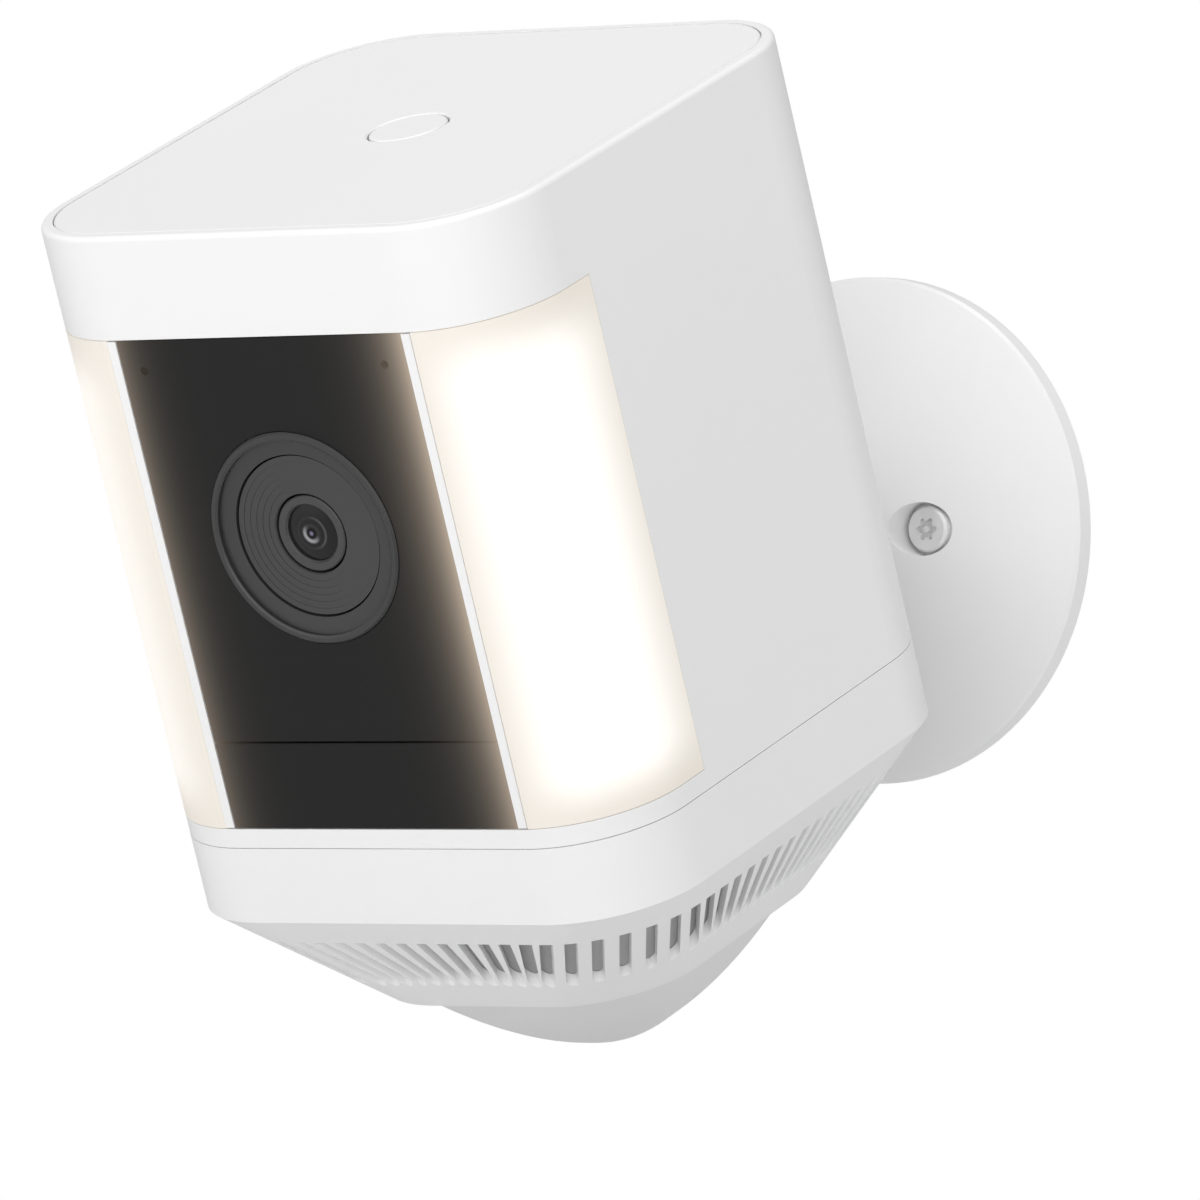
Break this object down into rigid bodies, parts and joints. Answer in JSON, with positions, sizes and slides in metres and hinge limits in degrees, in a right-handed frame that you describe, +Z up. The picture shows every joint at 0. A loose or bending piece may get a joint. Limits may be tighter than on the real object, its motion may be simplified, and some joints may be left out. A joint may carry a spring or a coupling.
{
  "type": "floodlight security camera",
  "caption": "Battery security camera with lit corner floodlights, a dark camera panel, a slotted base with a domed bottom, and a ball mount on a round conical wall plate.",
  "frame": {"origin": "centre of the wall plate's flat back, which is the centre of the circle of wall screws", "axes": "+Y into the wall, +Z up, the camera looks along -Y with its nose tilted down 21 degrees at rest"},
  "size_m": [0.076, 0.1647, 0.1326],
  "materials": {
    "shell": "satin light grey-white moulded plastic",
    "dome": "satin light grey-white moulded plastic",
    "face": "semi-gloss charcoal",
    "black_plastic": "fine matt",
    "diffuser": "opal, lit from behind",
    "reflector": "white, bright",
    "aluminium": "bead blasted",
    "steel": "zinc plated",
    "circuit_board": "solder mask",
    "chip": "moulded package",
    "led": "phosphor",
    "glass": "coated lens glass",
    "rubber": "silicone",
    "pack": "fine texture",
    "tab": "satin",
    "mesh": "fine woven acoustic mesh",
    "contact": "gold plated"
  },
  "bodies": {
    "wall_mount": {"wall_plate": "shell", "wall_screws": "steel"},
    "arm": {"ball_stud": "aluminium", "stud_bolt": "steel"},
    "liner": {"socket_liner": "black_plastic"},
    "clamp": {"clamp_ring": "black_plastic"},
    "button": {"setup_button": "shell"},
    "base": {"base_cover": "shell", "slot_mesh": "mesh", "bottom_dome": "dome", "base_screw": "steel", "battery_cradle": "black_plastic", "left_battery": "pack", "right_battery": "pack"},
    "left_tab": {"left_battery_tab": "tab"},
    "right_tab": {"right_battery_tab": "tab"},
    "head": {"antenna": "circuit_board", "base_seal": "rubber", "battery_bay": "black_plastic", "battery_contacts": "contact", "board_chips": "chip", "button_board": "circuit_board", "button_seal": "rubber", "button_switch": "chip", "camera_board": "circuit_board", "face_plate": "face", "floor_frame": "black_plastic", "floor_screws": "steel", "frame_screws": "steel", "front_element": "glass", "front_frame": "shell", "heat_sinks": "aluminium", "housing_shell": "shell", "image_sensor": "chip", "infrared_board": "circuit_board", "infrared_leds": "chip", "led_boards": "circuit_board", "left_diffuser": "diffuser", "left_reflector": "reflector", "lens_barrel": "black_plastic", "lens_bezel": "black_plastic", "lens_holder": "black_plastic", "lens_ring": "black_plastic", "light_sensor": "chip", "main_board": "circuit_board", "microphone": "chip", "microphone_gasket": "rubber", "motion_board": "circuit_board", "motion_sensors": "steel", "processor_shield": "aluminium", "rear_elements": "glass", "right_diffuser": "diffuser", "right_reflector": "reflector", "sensor_board": "circuit_board", "sensor_window": "face", "socket_cup": "black_plastic", "socket_nut": "black_plastic", "speaker": "black_plastic", "spotlight_leds": "led", "top_plate": "shell"}
  },
  "joints": [
    {"name": "arm_swivel", "type": "hinge", "parent": "wall_mount", "child": "arm", "pos_m": [0, 0, 0], "axis": [0, 1, 0], "range_deg": [-90, 90]},
    {"name": "head_pan", "type": "hinge", "parent": "arm", "child": "liner", "pos_m": [0, -0.036, 0], "axis": [0, 0, 1], "range_deg": [-25, 25]},
    {"name": "head_tilt", "type": "hinge", "parent": "liner", "child": "head", "pos_m": [0, -0.036, 0], "axis": [1, 0, 0], "range_deg": [-36, 14]},
    {"name": "clamp_turn", "type": "hinge", "parent": "head", "child": "clamp", "pos_m": [0, -0.036, 0], "axis": [0, 0.9336, 0.3584], "range_deg": [0, 60]},
    {"name": "button_press", "type": "slide", "parent": "head", "child": "button", "axis": [0, 0.3584, -0.9336], "range_m": [0, 0.0006], "stiffness_N_per_m": 1500, "springref_m": -0.0004},
    {"name": "base_release", "type": "slide", "parent": "head", "child": "base", "axis": [0, 0.3584, -0.9336], "range_m": [0, 0.075]},
    {"name": "left_tab_press", "type": "hinge", "parent": "base", "child": "left_tab", "pos_m": [-0.0137, -0.08398, -0.03684], "axis": [-1, 0, 0], "range_deg": [0, 8], "stiffness_Nm_per_rad": 0.05, "springref_deg": -1.15},
    {"name": "right_tab_press", "type": "hinge", "parent": "base", "child": "right_tab", "pos_m": [0.0137, -0.08398, -0.03684], "axis": [-1, 0, 0], "range_deg": [0, 8], "stiffness_Nm_per_rad": 0.05, "springref_deg": -1.15}
  ]
}
